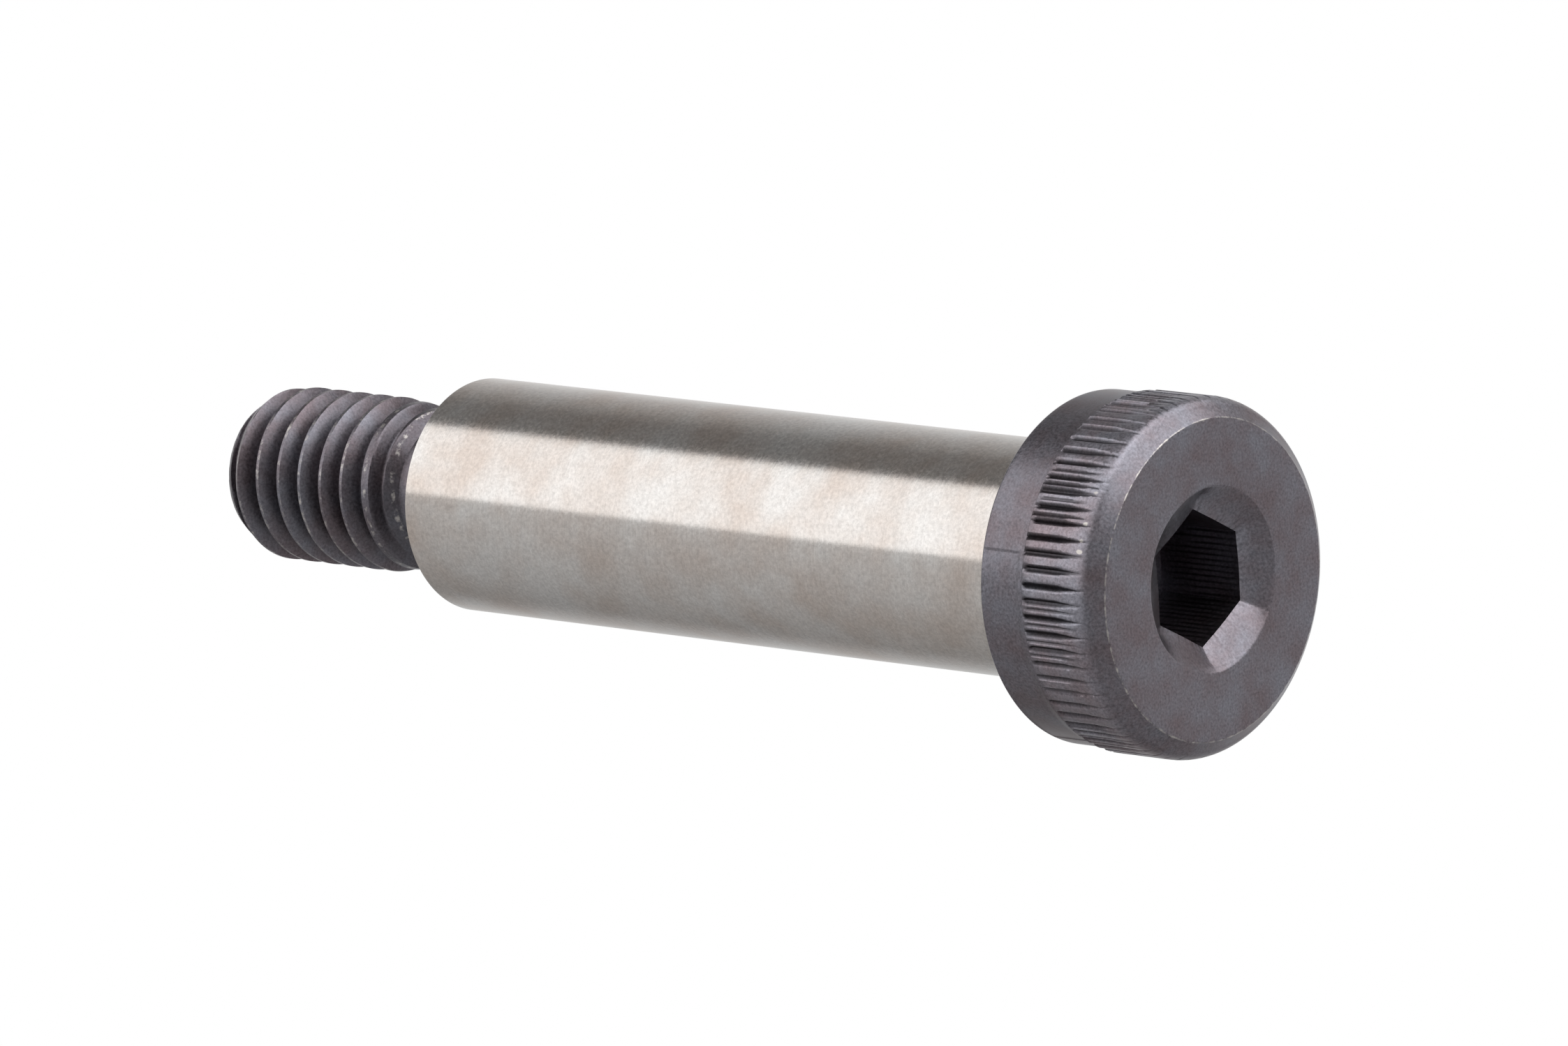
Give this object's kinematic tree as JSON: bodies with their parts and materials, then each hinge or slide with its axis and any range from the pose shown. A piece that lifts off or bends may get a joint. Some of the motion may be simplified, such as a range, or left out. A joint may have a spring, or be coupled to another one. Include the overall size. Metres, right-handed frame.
{
  "type": "shoulder bolt",
  "caption": "Socket-head shoulder bolt: knurled black head with a hexagon socket, ground cylindrical shoulder and a smaller threaded stud.",
  "frame": {"origin": "centre of the head's flat face, on the bolt's axis", "axes": "+Z along the bolt's axis from the head towards the thread; two corners of the hexagon socket on the X axis"},
  "size_m": [0.019, 0.019, 0.0682],
  "materials": {
    "black_oxide": "black oxide over forged and rolled steel, satin",
    "ground_steel": "cylindrically ground, fine circumferential lines"
  },
  "bodies": {
    "root": {"shoulder_bolt": "black_oxide"}
  },
  "joints": []
}
